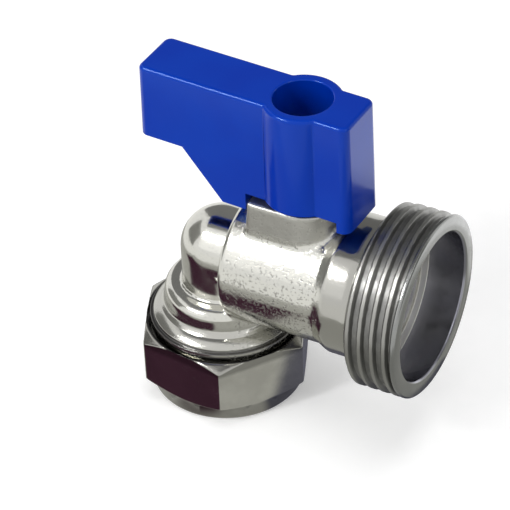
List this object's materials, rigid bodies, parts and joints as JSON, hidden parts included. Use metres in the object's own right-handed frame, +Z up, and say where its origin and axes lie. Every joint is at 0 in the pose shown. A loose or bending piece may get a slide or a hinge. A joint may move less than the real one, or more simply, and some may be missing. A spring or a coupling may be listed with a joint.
{
  "type": "washing machine valve",
  "caption": "Angled quarter-turn ball valve for a washing machine hose, with a compression inlet below, a hose thread to the side and a blue lever on top.",
  "frame": {"origin": "centre of the compression nut's lower face, where the pipe enters", "axes": "+Z up along the inlet pipe, +X along the outlet, away from the valve"},
  "size_m": [0.046, 0.0264, 0.0529],
  "materials": {
    "chrome": "bright nickel and chrome plate, fine cast grain on the barrel, turned smooth elsewhere",
    "ball_chrome": "polished ball",
    "retainer_metal": "plated ring, turned",
    "brass": "plain turned brass",
    "seat_plastic": "white sealing plastic",
    "ring_rubber": "black rubber",
    "lever_plastic": "deep blue moulded plastic, half gloss",
    "screw_steel": "zinc-plated steel"
  },
  "bodies": {
    "valve": {"valve_body": "chrome", "inner_seat": "seat_plastic", "outer_seat": "seat_plastic", "seat_retainer": "retainer_metal", "stem_washer": "seat_plastic"},
    "nut": {"compression_nut": "chrome", "olive": "brass"},
    "handle": {"lever": "lever_plastic", "lever_screw": "screw_steel", "stem": "brass", "stem_ring_lower": "ring_rubber", "stem_ring_upper": "ring_rubber", "valve_ball": "ball_chrome"}
  },
  "joints": [
    {"name": "lever_turn", "type": "hinge", "parent": "valve", "child": "handle", "pos_m": [0.0135, 0, 0.0365], "axis": [0, 0, 1], "range_deg": [-87.2, 2.8]},
    {"name": "nut_turn", "type": "hinge", "parent": "valve", "child": "nut", "pos_m": [0, 0, 0.0055], "axis": [0, 0, 1], "range_deg": [-90, 0]}
  ]
}
